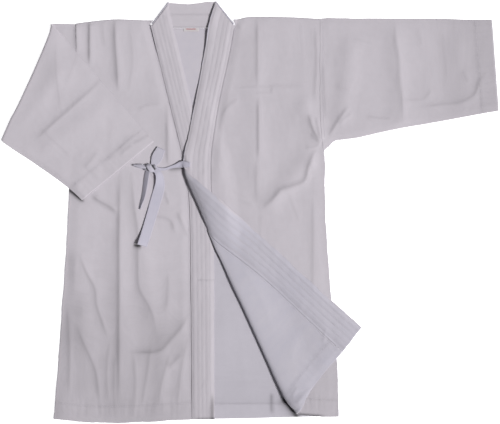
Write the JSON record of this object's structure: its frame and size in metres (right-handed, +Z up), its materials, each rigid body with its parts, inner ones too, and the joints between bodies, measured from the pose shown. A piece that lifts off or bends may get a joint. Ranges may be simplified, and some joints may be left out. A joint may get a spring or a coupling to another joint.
{
  "type": "kendo jacket laid flat",
  "caption": "Kendo practice jacket of thick white cotton, laid flat, left front over right and tied with a bow, lower corner turned back, one sleeve folded over.",
  "frame": {"origin": "centre of the bounding box's underside, on the surface that the jacket lies on", "axes": "+X towards the jacket's left cuff, +Y towards the collar, +Z up"},
  "size_m": [1.0706, 0.9027, 0.017],
  "materials": {
    "cotton": "matt thick white cotton weave",
    "cotton_inside": "matt, the cloth's wrong side, slightly cooler",
    "band": "matt doubled cotton with rows of stitching",
    "tape": "matt smooth cotton strip",
    "label": "plain woven label"
  },
  "bodies": {
    "root": {"back": "cotton_inside", "right_front": "cotton", "left_front": "cotton", "back_neck_band": "band", "right_band": "band", "left_band": "band", "right_sleeve": "cotton", "left_sleeve": "cotton", "tie_strap": "tape", "tie_knot": "tape", "tie_loop_upper": "tape", "tie_loop_side": "tape", "tie_tail_short": "tape", "tie_tail_long": "tape", "label": "label"}
  },
  "joints": []
}
